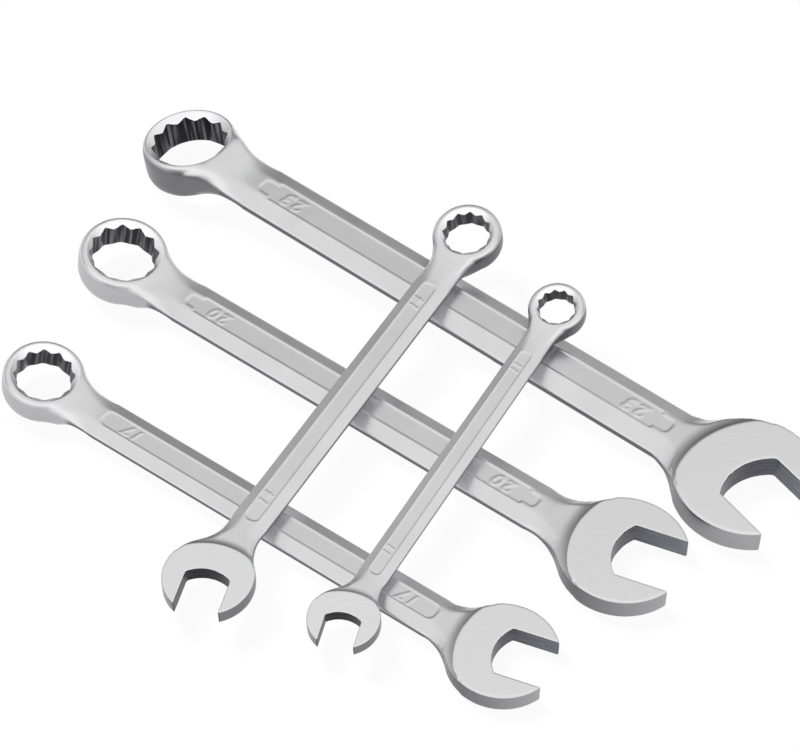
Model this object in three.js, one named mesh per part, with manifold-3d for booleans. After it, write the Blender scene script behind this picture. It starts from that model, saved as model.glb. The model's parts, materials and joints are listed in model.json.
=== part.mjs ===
import * as THREE from "three";
import { mergeVertices } from "three/addons/utils/BufferGeometryUtils.js";
import Module from "manifold-3d";

// Five combination wrenches as they lie on a bench, in millimetres with +Z up.
// Three lie side by side and two are laid across them. Each is one drop forging:
// a twelve-point ring at one end, an open jaw at the other and a raised panel on both faces.

const wasm = await Module();
wasm.setup();

// Each wrench's own sizes, with the place of its ring's centre on the bench. flats is the size of its
// nut across flats, centres runs from the ring's centre to the deepest point of the jaw, and the
// panel's start and end are counted from the ring's centre too.

// The 23 mm wrench lies at the back with its face down.
const flats23 = 23;
const centres23 = 227.7;
const ringRadius23 = 16.6;
const rimWidth23 = 1.7;
const ringHeight23 = 13.5;
const jawRadius23 = 23.7;
const jawThickness23 = 9.1;
const shankWidth23 = 20.6;
const shankThickness23 = 7;
const panelWidth23 = 8.9;
const panelStart23 = 31.9;
const panelEnd23 = 201.5;
const ringX23 = -72;
const ringY23 = 93.9;

// The 20 mm wrench lies in the middle.
const flats20 = 20;
const centres20 = 199;
const ringRadius20 = 15.1;
const rimWidth20 = 2.3;
const ringHeight20 = 12;
const jawRadius20 = 20.6;
const jawThickness20 = 7.9;
const shankWidth20 = 17.8;
const shankThickness20 = 6;
const panelWidth20 = 7.7;
const panelStart20 = 28.4;
const panelEnd20 = 170.3;
const ringX20 = -92.7;
const ringY20 = 43.1;

// The 17 mm wrench lies in front.
const flats17 = 17;
const centres17 = 178;
const ringRadius17 = 13.5;
const rimWidth17 = 2.2;
const ringHeight17 = 10.5;
const jawRadius17 = 17.5;
const jawThickness17 = 6.8;
const shankWidth17 = 15.2;
const shankThickness17 = 5.2;
const panelWidth17 = 6.5;
const panelStart17 = 25.5;
const panelEnd17 = 156.5;
const ringX17 = -115.3;
const ringY17 = -9.3;

// The 14 mm wrench lies across the three.
const flats14 = 14;
const centres14 = 156.2;
const ringRadius14 = 11.7;
const rimWidth14 = 2.4;
const ringHeight14 = 9;
const jawRadius14 = 14.4;
const jawThickness14 = 5.6;
const shankWidth14 = 12.5;
const shankThickness14 = 4.3;
const panelWidth14 = 5.4;
const panelStart14 = 24;
const panelEnd14 = 134;
const ringX14 = 22.6;
const ringY14 = 44.8;

// The 11 mm wrench lies across them too, at its right.
const flats11 = 11;
const centres11 = 135.8;
const ringRadius11 = 9.5;
const rimWidth11 = 2.1;
const ringHeight11 = 7.5;
const jawRadius11 = 11.3;
const jawThickness11 = 4.5;
const shankWidth11 = 10;
const shankThickness11 = 3.5;
const panelWidth11 = 4.3;
const panelStart11 = 20.5;
const panelEnd11 = 119;
const ringX11 = 51.3;
const ringY11 = 12.9;

// Angles are in degrees.
const wrenches = [
  {
    name: "wrench_23mm",
    acrossFlats: flats23, centres: centres23, ringRadius: ringRadius23, rimWidth: rimWidth23,
    ringHeight: ringHeight23, jawRadius: jawRadius23, jawThickness: jawThickness23,
    shankWidth: shankWidth23, shankThickness: shankThickness23, panelWidth: panelWidth23,
    panelStart: panelStart23, panelEnd: panelEnd23, ringX: ringX23, ringY: ringY23,
    headingAngle: -38.2, starAngle: 12, flipped: true, crossing: false, shoulders: true,
  },
  {
    name: "wrench_20mm",
    acrossFlats: flats20, centres: centres20, ringRadius: ringRadius20, rimWidth: rimWidth20,
    ringHeight: ringHeight20, jawRadius: jawRadius20, jawThickness: jawThickness20,
    shankWidth: shankWidth20, shankThickness: shankThickness20, panelWidth: panelWidth20,
    panelStart: panelStart20, panelEnd: panelEnd20, ringX: ringX20, ringY: ringY20,
    headingAngle: -37.1, starAngle: 13.5, flipped: false, crossing: false, shoulders: true,
  },
  {
    name: "wrench_17mm",
    acrossFlats: flats17, centres: centres17, ringRadius: ringRadius17, rimWidth: rimWidth17,
    ringHeight: ringHeight17, jawRadius: jawRadius17, jawThickness: jawThickness17,
    shankWidth: shankWidth17, shankThickness: shankThickness17, panelWidth: panelWidth17,
    panelStart: panelStart17, panelEnd: panelEnd17, ringX: ringX17, ringY: ringY17,
    headingAngle: -36.2, starAngle: 10.5, flipped: false, crossing: false, shoulders: false,
  },
  {
    name: "wrench_14mm",
    acrossFlats: flats14, centres: centres14, ringRadius: ringRadius14, rimWidth: rimWidth14,
    ringHeight: ringHeight14, jawRadius: jawRadius14, jawThickness: jawThickness14,
    shankWidth: shankWidth14, shankThickness: shankThickness14, panelWidth: panelWidth14,
    panelStart: panelStart14, panelEnd: panelEnd14, ringX: ringX14, ringY: ringY14,
    headingAngle: -121, starAngle: 22, flipped: false, crossing: true, shoulders: false,
  },
  {
    name: "wrench_11mm",
    acrossFlats: flats11, centres: centres11, ringRadius: ringRadius11, rimWidth: rimWidth11,
    ringHeight: ringHeight11, jawRadius: jawRadius11, jawThickness: jawThickness11,
    shankWidth: shankWidth11, shankThickness: shankThickness11, panelWidth: panelWidth11,
    panelStart: panelStart11, panelEnd: panelEnd11, ringX: ringX11, ringY: ringY11,
    headingAngle: -120, starAngle: 4, flipped: false, crossing: true, shoulders: false,
  },
];

// Sizes that all five share.
const panelRise = 0.4;
const nutClearance = 0.2;
const restGap = 0.3;
const cutOverrun = 3;
const smallestEdge = 0.01;

// Angles in degrees.
const jawAngle = 15;
const ringTiltAngle = 10;
const leadInAngle = 40;
const largestRestAngle = 8;

// Shares of the nut's size across flats.
const ringRiseShare = 0.1;
const headCentreShare = 0.15;
const tipReachShare = 1.06;
const tipCornerShare = 0.08;
const throatRadiusShare = 0.8;
const throatCornerShare = 0.11;
const coveReachShare = 0.66;
const coveRadiusShare = 1.45;
const coveSlopeShare = 0.22;
const jawFilletShare = 1;
const ringFilletShare = 1.2;

// Shares of other sizes of the same wrench.
const landThicknessShare = 0.34;
const headCrownShare = 0.8;
const headLandShare = 0.9;
const jawChamferShare = 0.12;
const rimRoundingShare = 0.88;
const ringShoulderShare = 0.29;
const rimStepShare = 0.15;
const neckShoulderShare = 0.75;
const ringCrownShare = 0.85;
const ringWallShare = 0.6;
const headWallShare = 0.45;
const neckUndersideShare = 0.65;
const noseWidthShare = 0.72;
const noseLengthShare = 1.25;
const noseFullnessShare = 0.7;

// Counts.
const points = 12;
const ringSegments = 48;
const headSegments = 48;
const coveSegments = 72;
const cornerSegments = 3;
const throatSegments = 6;
const roundingSegments = 4;
const coveSteps = 3;
const neckStations = 9;
const noseSegments = 6;
const restSearchSteps = 60;

const degree = Math.PI / 180;

function mix(from, to, share) {
  return from + (to - from) * share;
}

// Shared vertices are merged and flat slivers dropped, so that the mesh closes.
function solidFrom(geometry) {
  geometry.deleteAttribute("normal");
  geometry.deleteAttribute("uv");
  const merged = mergeVertices(geometry);
  const index = merged.index.array;
  const triangles = [];
  for (let i = 0; i < index.length; i += 3) {
    const [a, b, c] = [index[i], index[i + 1], index[i + 2]];
    if (a !== b && b !== c && c !== a) triangles.push(a, b, c);
  }
  return new wasm.Manifold(new wasm.Mesh({
    numProp: 3,
    vertProperties: new Float32Array(merged.attributes.position.array),
    triVerts: new Uint32Array(triangles),
  }));
}

function geometryFrom(solid) {
  const mesh = solid.getMesh();
  const geometry = new THREE.BufferGeometry();
  geometry.setAttribute("position", new THREE.BufferAttribute(mesh.vertProperties, mesh.numProp));
  geometry.setIndex(new THREE.BufferAttribute(mesh.triVerts, 1));
  return geometry;
}

// A revolved solid on the Z axis, from a profile of [radius, height] that starts and ends on it.
function revolve(profile, segments) {
  const outline = profile.map(([radius, height]) => new THREE.Vector2(radius, height));
  const geometry = new THREE.LatheGeometry(outline, segments);
  geometry.rotateX(Math.PI / 2);
  return geometry;
}

// The points of an arc, both of its ends included.
function arc(centreX, centreY, radius, from, to, segments) {
  const outline = [];
  for (let i = 0; i <= segments; i += 1) {
    const turn = mix(from, to, i / segments);
    outline.push([centreX + radius * Math.cos(turn), centreY + radius * Math.sin(turn)]);
  }
  return outline;
}

// An outline of [x, y] points extruded to the same depth above and below its own plane.
function slab(outline, thickness) {
  const shape = new THREE.Shape(outline.map(([x, y]) => new THREE.Vector2(x, y)));
  const geometry = new THREE.ExtrudeGeometry(shape, { depth: thickness, bevelEnabled: false });
  geometry.translate(0, 0, -thickness / 2);
  return geometry;
}

// A skin over matching sections, closed at both ends by a fan of triangles.
function loft(sections) {
  const size = sections[0].length;
  const vertices = sections.flat(2);
  const index = [];
  for (let i = 0; i + 1 < sections.length; i += 1) {
    for (let j = 0; j < size; j += 1) {
      const next = (j + 1) % size;
      const [a, b] = [i * size + j, i * size + next];
      const [c, d] = [a + size, b + size];
      index.push(a, b, c, b, d, c);
    }
  }
  const last = (sections.length - 1) * size;
  for (let j = 1; j + 1 < size; j += 1) {
    index.push(0, j + 1, j, last, last + j, last + j + 1);
  }
  const geometry = new THREE.BufferGeometry();
  geometry.setAttribute("position", new THREE.Float32BufferAttribute(vertices, 3));
  geometry.setIndex(index);
  return geometry;
}

// Eases from 0 to 1 as x goes from start to end.
function ease(x, start, end) {
  return THREE.MathUtils.smoothstep(x, start, end);
}

// Falls from 1 at start to 0 at end, steepest at the start.
function fallAway(x, start, end) {
  return THREE.MathUtils.clamp((end - x) / (end - start), 0, 1) ** 2;
}

// A fillet between a straight edge, at the height edge, and a circle whose centre is at the height centre.
// along and touchAlong are how far from the circle's centre the fillet meets the edge and the circle.
function filletBetween(edge, centre, circleRadius, filletRadius) {
  const rise = edge + filletRadius - centre;
  const reach = circleRadius + filletRadius;
  const along = Math.sqrt(reach * reach - rise * rise);
  const share = circleRadius / reach;
  return { along, filletRadius, edge, touchAlong: along * share };
}

// The height of the outline at a distance from the circle's centre.
function filletHeight(fillet, distance) {
  const inside = Math.max(0, fillet.along - Math.max(distance, fillet.touchAlong));
  return fillet.edge + fillet.filletRadius - Math.sqrt(fillet.filletRadius ** 2 - inside ** 2);
}

// The sizes of one wrench that follow from its row.
function deriveSizes(row) {
  const nut = row.acrossFlats;
  const headShift = headCentreShare * nut;
  const halfWidth = row.shankWidth / 2;
  const headX = row.centres + headShift * Math.cos(jawAngle * degree);
  const headY = headShift * Math.sin(jawAngle * degree);
  const jawFillet = jawFilletShare * nut;
  return {
    ...row,
    halfWidth,
    headX,
    headY,
    opening: nut + nutClearance,
    crown: row.shankThickness / 2,
    land: landThicknessShare * row.shankThickness / 2,
    panelHalf: row.panelWidth / 2,
    panelTop: row.shankThickness / 2 + panelRise,
    ringRise: ringRiseShare * nut,
    shoulder: ringShoulderShare * row.ringHeight,
    ringFillet: filletBetween(halfWidth, 0, row.ringRadius, ringFilletShare * nut),
    leftFillet: filletBetween(halfWidth, headY, row.jawRadius, jawFillet),
    rightFillet: filletBetween(halfWidth, -headY, row.jawRadius, jawFillet),
  };
}

// The planes of the tilted ring's two faces, as heights over the shank's middle plane.
function ringFaces(wrench, x) {
  const tilt = ringTiltAngle * degree;
  const middle = wrench.ringRise - x * Math.tan(tilt);
  const half = wrench.ringHeight / 2 / Math.cos(tilt);
  return { top: middle + half, bottom: middle - half };
}

// The height of the wrench's crown above and below the middle plane, from the ring's neck to the jaw's.
function crownHeights(wrench, x) {
  const faces = ringFaces(wrench, Math.min(x, wrench.ringRadius));
  const step = rimStepShare * wrench.rimWidth;
  const start = ringCrownShare * wrench.ringRadius;
  const undersideEnd = mix(wrench.ringRadius, wrench.panelStart, neckUndersideShare);
  return {
    top: mix(wrench.crown, faces.top - step, fallAway(x, start, wrench.panelStart)),
    bottom: mix(-wrench.crown, faces.bottom + step, fallAway(x, start, undersideEnd)),
  };
}

// One section of the shank: narrow lands at the sides, bevels, and a flat crown on each face.
function shankSection(wrench, x) {
  const { top, bottom } = crownHeights(wrench, x);
  const ringStart = ringCrownShare * wrench.ringRadius;
  const ringShare = 1 - ease(x, ringStart, wrench.panelStart);
  const ringWallEnd = mix(wrench.ringRadius, wrench.panelStart, ringWallShare);
  const ringWall = 1 - ease(x, ringWallShare * wrench.ringRadius, ringWallEnd);
  const headStart = wrench.panelEnd;
  const headEnd = wrench.headX - wrench.leftFillet.touchAlong;
  const headShare = ease(x, headStart, headEnd);
  const headWall = ease(x, mix(headStart, headEnd, headWallShare), headEnd);
  const sides = [wrench.leftFillet, wrench.rightFillet].map((fillet) => {
    const ringSide = filletHeight(wrench.ringFillet, x);
    const headSide = filletHeight(fillet, wrench.headX - x);
    return Math.max(ringSide, headSide);
  });
  const endLand = mix(wrench.land, headLandShare * wrench.crown, headWall);
  const shoulder = neckShoulderShare * wrench.shoulder;
  const landTop = mix(endLand, top - shoulder, ringWall);
  const landBottom = mix(-endLand, bottom + shoulder, ringWall);
  const crownShare = Math.max(ringShare, headShare);
  const [left, right] = sides;
  const leftCrown = mix(wrench.panelHalf, headCrownShare * left, crownShare);
  const rightCrown = mix(wrench.panelHalf, headCrownShare * right, crownShare);
  return [
    [x, left, landBottom],
    [x, left, landTop],
    [x, leftCrown, top],
    [x, -rightCrown, top],
    [x, -right, landTop],
    [x, -right, landBottom],
    [x, -rightCrown, bottom],
    [x, leftCrown, bottom],
  ];
}

// The shank with both necks, from inside the ring to inside the jaw's head.
function shankSolid(wrench) {
  const start = wrench.ringFillet.touchAlong;
  const end = wrench.headX - wrench.leftFillet.touchAlong + headCentreShare * wrench.acrossFlats;
  const stations = [];
  for (let i = 0; i <= neckStations; i += 1) {
    stations.push(mix(start, wrench.panelStart, i / neckStations));
  }
  for (let i = 0; i <= neckStations; i += 1) {
    stations.push(mix(wrench.panelEnd, end, i / neckStations));
  }
  return solidFrom(loft(stations.map((x) => shankSection(wrench, x))));
}

// One end of the raised panel from the nose's tip to the full width, as [along, across].
// The larger wrenches have a narrower nose that swells to the full width in a small cove.
function noseOutline(wrench) {
  const half = wrench.panelHalf;
  const length = noseLengthShare * half;
  const width = wrench.shoulders ? noseWidthShare * half : half;
  const cove = half - width;
  const outline = [];
  for (let i = 0; i <= noseSegments; i += 1) {
    const turn = (i / noseSegments) * Math.PI / 2;
    const [back, out] = [Math.cos(turn) ** noseFullnessShare, Math.sin(turn) ** noseFullnessShare];
    outline.push([(length - cove) * (1 - back), width * out]);
  }
  if (wrench.shoulders) {
    for (let i = 1; i <= coveSteps; i += 1) {
      const turn = (i / coveSteps) * Math.PI / 2;
      outline.push([length - cove * (1 - Math.sin(turn)), half - cove * Math.cos(turn)]);
    }
  }
  return outline;
}

// The panel goes right through the shank, so it stands proud by the same rise on both faces.
function panelSolid(wrench) {
  const nose = noseOutline(wrench);
  const left = [
    ...nose.map(([along, across]) => [wrench.panelStart + along, across]),
    ...nose.map(([along, across]) => [wrench.panelEnd - along, across]).reverse(),
  ];
  const right = left.slice(1, -1).map(([along, across]) => [along, -across]).reverse();
  return solidFrom(slab([...left, ...right], 2 * wrench.panelTop));
}

// The ring is a barrel: its outer wall curves in towards the rim on both faces.
function ringSolid(wrench) {
  const half = wrench.ringHeight / 2;
  const rounding = rimRoundingShare * wrench.rimWidth;
  const profile = [[0, -half]];
  for (const side of [-1, 1]) {
    const corner = [];
    for (let i = 0; i <= roundingSegments; i += 1) {
      const turn = (i / roundingSegments) * Math.PI / 2;
      const radius = wrench.ringRadius - rounding * (1 - Math.sin(turn));
      corner.push([radius, side * (half - wrench.shoulder * (1 - Math.cos(turn)))]);
    }
    profile.push(...(side < 0 ? corner : corner.reverse()));
  }
  profile.push([0, half]);
  return placeRing(wrench, revolve(profile, ringSegments));
}

// Tilts a piece of the ring and lifts it to the ring's centre.
function placeRing(wrench, geometry) {
  geometry.rotateY(ringTiltAngle * degree);
  geometry.translate(0, 0, wrench.ringRise);
  return solidFrom(geometry);
}

// The bore: two hexagons a twelfth of a turn apart make its twelve points,
// and a cone on each face leads the nut in.
function boreSolid(wrench) {
  const tipRadius = wrench.opening / 2 / Math.cos(Math.PI / 6);
  const rootRadius = wrench.opening / 2 / Math.cos(Math.PI / 12);
  const star = [];
  for (let i = 0; i < 2 * points; i += 1) {
    const turn = (i / points) * Math.PI + wrench.starAngle * degree;
    const radius = i % 2 ? rootRadius : tipRadius;
    star.push([radius * Math.cos(turn), radius * Math.sin(turn)]);
  }
  const bore = slab(star, wrench.ringHeight + 2 * cutOverrun);
  const half = wrench.ringHeight / 2;
  const mouth = wrench.ringRadius - wrench.rimWidth;
  const depth = mouth * Math.tan(leadInAngle * degree);
  const flare = cutOverrun / Math.tan(leadInAngle * degree);
  const cones = [-1, 1].map((side) => {
    const profile = [[0, side * (half - depth)], [mouth + flare, side * (half + cutOverrun)]];
    profile.push([0, side * (half + cutOverrun)]);
    return placeRing(wrench, revolve(side > 0 ? profile : profile.reverse(), ringSegments));
  });
  return placeRing(wrench, bore).add(cones[0]).add(cones[1]);
}

// Turns a piece of the jaw to its angle and moves it to the jaw's deepest point.
function placeJaw(wrench, geometry) {
  geometry.rotateZ(jawAngle * degree);
  geometry.translate(wrench.centres, 0, 0);
  return solidFrom(geometry);
}

// A blank that is wider than the head except at the two tips, whose corners it rounds.
function tipsOutline(wrench) {
  const nut = wrench.acrossFlats;
  const centre = headCentreShare * nut;
  const corner = tipCornerShare * nut;
  const cornerX = tipReachShare * nut - corner;
  const cornerY = Math.sqrt((wrench.jawRadius - corner) ** 2 - (cornerX - centre) ** 2);
  const turn = Math.atan2(cornerY, cornerX - centre);
  const startX = cornerX + corner * Math.cos(turn);
  const side = wrench.jawRadius + corner;
  return [
    [-side, -side],
    [startX, -side],
    ...arc(cornerX, -cornerY, corner, -turn, 0, cornerSegments),
    ...arc(cornerX, cornerY, corner, 0, turn, cornerSegments),
    [startX, side],
    [-side, side],
  ];
}

// The head is a disc with chamfered edges, cut to its two tips. It is flat inside the
// cove's arc, and falls to the neck's height behind it.
function headSolid(wrench) {
  const nut = wrench.acrossFlats;
  const half = wrench.jawThickness / 2;
  const chamfer = jawChamferShare * wrench.jawThickness;
  const rim = wrench.jawRadius;
  const discProfile = [[0, -half], [rim - chamfer, -half], [rim, chamfer - half]];
  discProfile.push([rim, half - chamfer], [rim - chamfer, half], [0, half]);
  const disc = revolve(discProfile, headSegments);
  disc.translate(headCentreShare * nut, 0, 0);
  const block = slab(tipsOutline(wrench), wrench.jawThickness);
  const radius = coveRadiusShare * nut;
  const slope = coveSlopeShare * nut;
  const reach = radius + rim;
  const flank = [];
  for (let i = 0; i <= coveSteps; i += 1) {
    const down = i / coveSteps;
    flank.push([radius + slope * down, mix(wrench.crown, half, (1 - down) ** 2)]);
  }
  const coveProfile = [[0, -half], ...flank.map(([across, height]) => [across, -height])];
  coveProfile.push([reach, -wrench.crown], [reach, wrench.crown], ...flank.reverse(), [0, half]);
  const cove = revolve(coveProfile, coveSegments);
  cove.translate(radius - coveReachShare * nut, 0, 0);
  const pieces = [disc, block, cove].map((piece) => placeJaw(wrench, piece));
  return pieces[0].intersect(pieces[1]).intersect(pieces[2]);
}

// The slot between the two flats, with a shallow arc at its bottom and small corners.
function slotSolid(wrench) {
  const nut = wrench.acrossFlats;
  const half = wrench.opening / 2;
  const radius = throatRadiusShare * nut;
  const corner = throatCornerShare * nut;
  const cornerX = radius - Math.sqrt((radius - corner) ** 2 - (half - corner) ** 2);
  const turn = Math.atan2(half - corner, radius - cornerX);
  const far = wrench.jawRadius + nut;
  const outline = [
    [far, -half],
    [far, half],
    ...arc(cornerX, half - corner, corner, Math.PI / 2, Math.PI - turn, cornerSegments),
    ...arc(radius, 0, radius, Math.PI - turn, Math.PI + turn, throatSegments).slice(1, -1),
    ...arc(cornerX, corner - half, corner, Math.PI + turn, 1.5 * Math.PI, cornerSegments),
  ];
  return placeJaw(wrench, slab(outline.reverse(), wrench.jawThickness + 2 * cutOverrun));
}

function forgeWrench(wrench) {
  const body = ringSolid(wrench).add(shankSolid(wrench)).add(headSolid(wrench)).add(panelSolid(wrench));
  const forging = body.subtract(boreSolid(wrench)).subtract(slotSolid(wrench));
  return forging.simplify(smallestEdge);
}

// The tilt about Y, and the lift, that rest a wrench's two ends on the bench.
function restOnBench(wrench, solid) {
  const lyingSolid = wrench.flipped ? solid.rotate([180, 0, 0]) : solid;
  const { vertProperties } = lyingSolid.getMesh();
  const middle = wrench.centres / 2;
  const lowest = (angle) => {
    const low = { ring: Infinity, jaw: Infinity };
    for (let i = 0; i < vertProperties.length; i += 3) {
      const [x, z] = [vertProperties[i], vertProperties[i + 2]];
      const height = z * Math.cos(angle) - x * Math.sin(angle);
      const end = x < middle ? "ring" : "jaw";
      low[end] = Math.min(low[end], height);
    }
    return low;
  };
  let [least, most] = [-largestRestAngle * degree, largestRestAngle * degree];
  for (let i = 0; i < restSearchSteps; i += 1) {
    const angle = (least + most) / 2;
    const low = lowest(angle);
    if (low.ring < low.jaw) least = angle;
    else most = angle;
  }
  return { angle: least, lift: -lowest(least).ring };
}

// Turns an offset on the bench by an angle.
function turned(x, y, angle) {
  return [x * Math.cos(angle) - y * Math.sin(angle), x * Math.sin(angle) + y * Math.cos(angle)];
}

// The height over the bench of a lying wrench's shank, at a place along and across it.
// Away from the shank there is nothing to rest on.
function lyingHeight(lower, along, across) {
  const side = Math.abs(across);
  if (side > lower.halfWidth || along < lower.panelStart || along > lower.panelEnd) return -Infinity;
  const down = Math.max(0, side - lower.panelHalf) / (lower.halfWidth - lower.panelHalf);
  const height = down > 0 ? mix(lower.crown, lower.land, down) : lower.panelTop;
  return lower.rest.lift - along * Math.sin(lower.rest.angle) + height;
}

// Where a crossing wrench could touch a lying one: the corners of its own surface over the other's
// shank, and the places where the edges of its panel cross the edges of the other's panel and shank.
// Each touch has its distance along the upper wrench, its own height there and the height below it.
function touchesBetween(upper, solid, lower) {
  const upperTurn = upper.headingAngle * degree;
  const lowerTurn = lower.headingAngle * degree;
  const [gapX, gapY] = turned(upper.ringX - lower.ringX, upper.ringY - lower.ringY, -lowerTurn);
  const crossing = upperTurn - lowerTurn;
  const touches = [];
  const { vertProperties } = solid.getMesh();
  for (let i = 0; i < vertProperties.length; i += 3) {
    const [x, y] = turned(vertProperties[i], vertProperties[i + 1], crossing);
    const top = lyingHeight(lower, gapX + x, gapY + y);
    touches.push({ along: vertProperties[i], underside: vertProperties[i + 2], top });
  }
  for (const upperSide of [-upper.panelHalf, upper.panelHalf]) {
    for (const lowerSide of [lower.panelHalf, lower.halfWidth]) {
      for (const across of [-lowerSide, lowerSide]) {
        const along = (across - gapY - upperSide * Math.cos(crossing)) / Math.sin(crossing);
        const [x] = turned(along, upperSide, crossing);
        const top = lyingHeight(lower, gapX + x, across);
        touches.push({ along, underside: -upper.panelTop, top });
      }
    }
  }
  return touches.filter(({ along, top }) => along < upper.centres && top > 0);
}

// A wrench laid across others settles at the slope where its middle lies lowest.
function restAcross(upper, solid, lowerWrenches) {
  const touches = lowerWrenches.flatMap((lower) => touchesBetween(upper, solid, lower));
  const middle = upper.centres / 2;
  const liftAt = (slope) => {
    let lift = 0;
    for (const { along, underside, top } of touches) {
      lift = Math.max(lift, top + restGap + slope * along - underside);
    }
    return lift;
  };
  const limit = Math.tan(largestRestAngle * degree);
  let [least, most] = [-limit, limit];
  for (let i = 0; i < restSearchSteps; i += 1) {
    const [low, high] = [mix(least, most, 1 / 3), mix(least, most, 2 / 3)];
    if (liftAt(low) - low * middle < liftAt(high) - high * middle) most = high;
    else least = low;
  }
  return { angle: Math.atan(least), lift: liftAt(least) };
}

// A wrench turns face down about its own length, tilts to its rest and takes its heading.
function placeWrench(wrench, solid) {
  const steel = new THREE.MeshStandardMaterial({ color: 0xc9cacc, roughness: 0.32, metalness: 1 });
  const mesh = new THREE.Mesh(geometryFrom(solid), steel);
  mesh.name = wrench.name;
  mesh.rotation.x = wrench.flipped ? Math.PI : 0;
  const tilted = new THREE.Group();
  tilted.rotation.y = wrench.rest.angle;
  tilted.add(mesh);
  const headed = new THREE.Group();
  headed.position.set(wrench.ringX, wrench.ringY, wrench.rest.lift);
  headed.rotation.z = wrench.headingAngle * degree;
  headed.add(tilted);
  return headed;
}

const bench = new THREE.Group();
const lying = [];
for (const row of wrenches) {
  const wrench = deriveSizes(row);
  const solid = forgeWrench(wrench);
  wrench.rest = wrench.crossing ? restAcross(wrench, solid, lying) : restOnBench(wrench, solid);
  if (!wrench.crossing) lying.push(wrench);
  bench.add(placeWrench(wrench, solid));
}

// The set stands on its lowest point, with its origin under the middle of its outline.
bench.updateMatrixWorld(true);
const box = new THREE.Box3().setFromObject(bench, true);
const middle = box.getCenter(new THREE.Vector3());
bench.position.set(-middle.x, -middle.y, -box.min.z);
const wrenchSet = new THREE.Group();
wrenchSet.add(bench);

export default wrenchSet;
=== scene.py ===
import json
import math

import bpy
from mathutils import Matrix, Vector

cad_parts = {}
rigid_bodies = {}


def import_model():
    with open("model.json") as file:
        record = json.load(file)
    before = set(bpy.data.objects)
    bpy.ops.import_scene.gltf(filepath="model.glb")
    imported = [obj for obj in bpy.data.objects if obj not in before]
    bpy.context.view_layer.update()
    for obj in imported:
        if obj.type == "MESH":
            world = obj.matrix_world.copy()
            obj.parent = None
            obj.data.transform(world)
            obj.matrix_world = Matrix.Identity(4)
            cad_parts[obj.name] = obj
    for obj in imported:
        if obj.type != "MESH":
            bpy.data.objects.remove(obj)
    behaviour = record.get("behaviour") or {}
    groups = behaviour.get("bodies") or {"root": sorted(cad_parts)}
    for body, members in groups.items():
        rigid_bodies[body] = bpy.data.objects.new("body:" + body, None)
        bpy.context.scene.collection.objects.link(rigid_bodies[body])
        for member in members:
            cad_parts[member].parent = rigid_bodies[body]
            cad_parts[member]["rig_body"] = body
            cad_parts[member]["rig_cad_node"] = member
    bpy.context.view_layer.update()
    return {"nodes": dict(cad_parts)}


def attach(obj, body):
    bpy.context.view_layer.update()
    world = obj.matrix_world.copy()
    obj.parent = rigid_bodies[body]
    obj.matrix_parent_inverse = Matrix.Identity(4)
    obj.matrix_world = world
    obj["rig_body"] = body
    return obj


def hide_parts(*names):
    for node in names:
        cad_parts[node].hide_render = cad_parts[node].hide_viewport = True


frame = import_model()
bpy.ops.object.select_all(action="DESELECT")

mm = 0.001
hair = 0.01 * mm  # places nearer than this count as one


# Small helpers that every piece uses

def pick(thing):
    bpy.ops.object.select_all(action="DESELECT")
    thing.select_set(True)
    bpy.context.view_layer.objects.active = thing


def settle(thing, matrix=None):  # the place goes into the mesh, the object stays at the origin
    if matrix is not None:
        thing.matrix_world = matrix @ thing.matrix_world
    pick(thing)
    bpy.ops.object.transform_apply(location=True, rotation=True, scale=True)
    return thing


def finishWith(thing, kind, **settings):
    modifier = thing.modifiers.new(kind.lower(), kind)
    for setting, value in settings.items():
        setattr(modifier, setting, value)
    pick(thing)
    bpy.ops.object.modifier_apply(modifier=modifier.name)


def combine(body, tool, operation):
    finishWith(body, "BOOLEAN", object=tool, operation=operation, solver="MANIFOLD")
    bpy.data.objects.remove(tool)


def editEdges(thing, test):  # leaves edit mode open with these edges selected
    pick(thing)
    bpy.ops.object.mode_set(mode="EDIT")
    bpy.ops.mesh.select_mode(type="EDGE")
    bpy.ops.mesh.select_all(action="DESELECT")
    bpy.ops.object.mode_set(mode="OBJECT")
    points = [vertex.co.copy() for vertex in thing.data.vertices]
    for edge in thing.data.edges:
        start, end = (points[i] for i in edge.vertices)
        edge.select = bool(test(start, end))
    bpy.ops.object.mode_set(mode="EDIT")


def bevelEdges(thing, test, offset, segments, profile=0.5):
    editEdges(thing, test)
    bpy.ops.mesh.bevel(offset=offset, segments=segments, profile=profile)
    bpy.ops.object.mode_set(mode="OBJECT")


def upright(start, end):
    return abs(start.x - end.x) + abs(start.y - end.y) < hair and abs(start.z - end.z) > 10 * hair


# The five wrenches: sizes in mm and angles in degrees, and how each one lies on the bench.
# ringPlace is the ring's centre, and pitch lowers the jaw's end. skinVoxel is the grain of its mesh.
# ringWallShade is the share of the painted side shade on its ring's wall, tipShadeLift the share of that
# painted shade taken off at the jaw's tips, and slotShadeTones the dark and the light tone of the cut steel
# in the slot, partly painted shade.

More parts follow.
